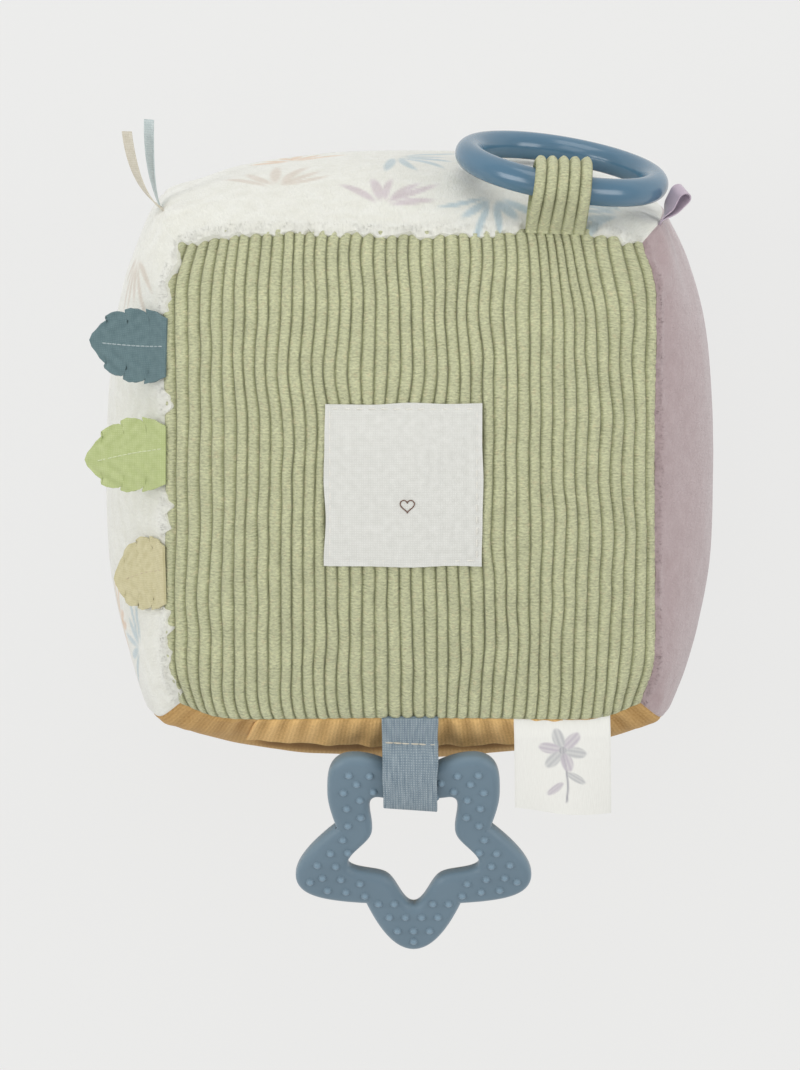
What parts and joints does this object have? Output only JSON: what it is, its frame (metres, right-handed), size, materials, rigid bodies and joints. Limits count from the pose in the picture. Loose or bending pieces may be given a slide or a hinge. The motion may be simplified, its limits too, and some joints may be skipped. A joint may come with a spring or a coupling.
{
  "type": "soft fabric activity block",
  "caption": "stuffed fabric cube for babies with bulging corduroy and plush sides, a hanging ring, a star teether on a strap, and leaf, ribbon and satin tabs along its seams",
  "frame": {"origin": "on the table, under the middle of the block's flattened back", "axes": "+Z out of the corduroy face, opposite the face it rests on; +Y towards the side with the ring; +X towards the mauve side"},
  "size_m": [0.1971, 0.2581, 0.1791],
  "materials": {
    "polyester_fill": "loose white polyester stuffing, never seen",
    "green_corduroy": "wide-wale moss green corduroy",
    "white_plush": "short white plush with a pale print",
    "mauve_plush": "short mauve-grey plush",
    "ochre_corduroy": "fine-wale ochre corduroy",
    "label_cotton": "plain off-white cotton with a stitched border",
    "blue_ring_plastic": "glossy blue plastic",
    "grey_blue_denim": "grey-blue denim twill",
    "grey_blue_silicone": "matte grey-blue silicone",
    "blue_grey_felt": "blue-grey felt",
    "lime_felt": "lime green felt",
    "beige_felt": "pale beige-yellow felt",
    "white_satin": "white satin ribbon, folded double",
    "cream_ribbon": "cream satin ribbon",
    "pale_blue_ribbon": "pale blue satin ribbon",
    "mauve_satin": "mauve satin ribbon"
  },
  "bodies": {
    "block": {"fill_core": "polyester_fill", "front_panel": "green_corduroy", "back_panel": "white_plush", "upper_panel": "white_plush", "left_panel": "white_plush", "right_panel": "mauve_plush", "lower_panel": "ochre_corduroy", "lower_flap": "ochre_corduroy", "label_patch": "label_cotton"},
    "ring_loop_body": {"ring_loop": "green_corduroy"},
    "ring_body": {"teething_ring": "blue_ring_plastic"},
    "strap_body": {"star_strap": "grey_blue_denim"},
    "star_body": {"star_teether": "grey_blue_silicone"},
    "leaf_upper_body": {"leaf_upper": "blue_grey_felt"},
    "leaf_middle_body": {"leaf_middle": "lime_felt"},
    "leaf_lower_body": {"leaf_lower": "beige_felt"},
    "tag_body": {"satin_tag": "white_satin"},
    "cream_body": {"ribbon_cream": "cream_ribbon"},
    "blue_body": {"ribbon_blue": "pale_blue_ribbon"},
    "satin_loop_body": {"ribbon_loop": "mauve_satin"}
  },
  "joints": [
    {"name": "loop_swing", "type": "hinge", "parent": "block", "child": "ring_loop_body", "pos_m": [0.044, 0.07464, 0.16044], "axis": [0.9988, -0.0344, -0.0344], "range_deg": [-0.5, 65]},
    {"name": "ring_tilt", "type": "hinge", "parent": "ring_loop_body", "child": "ring_body", "pos_m": [0.04569, 0.08914, 0.1643], "axis": [0.986, -0.1663, 0.0119], "range_deg": [-0.5, 150]},
    {"name": "strap_swing", "type": "hinge", "parent": "block", "child": "strap_body", "pos_m": [0.001, -0.0754, 0.1612], "axis": [-1, -0.0008, 0.0008], "range_deg": [-8, 140]},
    {"name": "star_tilt", "type": "hinge", "parent": "strap_body", "child": "star_body", "pos_m": [0.00101, -0.09903, 0.14942], "axis": [-1, -0.0008, 0.0008], "range_deg": [-3, 3]},
    {"name": "leaf_upper_swing", "type": "hinge", "parent": "block", "child": "leaf_upper_body", "pos_m": [-0.07483, 0.038, 0.16064], "axis": [0.0298, 0.9991, -0.0297], "range_deg": [-24, 150]},
    {"name": "leaf_middle_swing", "type": "hinge", "parent": "block", "child": "leaf_middle_body", "pos_m": [-0.07538, 0.007, 0.16118], "axis": [0.0055, 1, -0.0055], "range_deg": [-37, 140]},
    {"name": "leaf_lower_swing", "type": "hinge", "parent": "block", "child": "leaf_lower_body", "pos_m": [-0.07506, -0.0295, 0.16086], "axis": [-0.023, 0.9995, 0.023], "range_deg": [-3, 165]},
    {"name": "tag_swing", "type": "hinge", "parent": "block", "child": "tag_body", "pos_m": [0.0465, -0.07455, 0.16035], "axis": [-0.9987, -0.0363, 0.0363], "range_deg": [-28, 140]},
    {"name": "cream_swing", "type": "hinge", "parent": "block", "child": "cream_body", "pos_m": [-0.07536, 0.07879, 0.13501], "axis": [0.1194, -0.1802, 0.9764], "range_deg": [-25, 40]},
    {"name": "blue_swing", "type": "hinge", "parent": "block", "child": "blue_body", "pos_m": [-0.07614, 0.07957, 0.13062], "axis": [0.2214, -0.1621, 0.9616], "range_deg": [-25, 25]},
    {"name": "satin_swing", "type": "hinge", "parent": "block", "child": "satin_loop_body", "pos_m": [0.07697, 0.07697, 0.14408], "axis": [-0.2077, -0.2077, 0.9559], "range_deg": [-45, 12]}
  ]
}
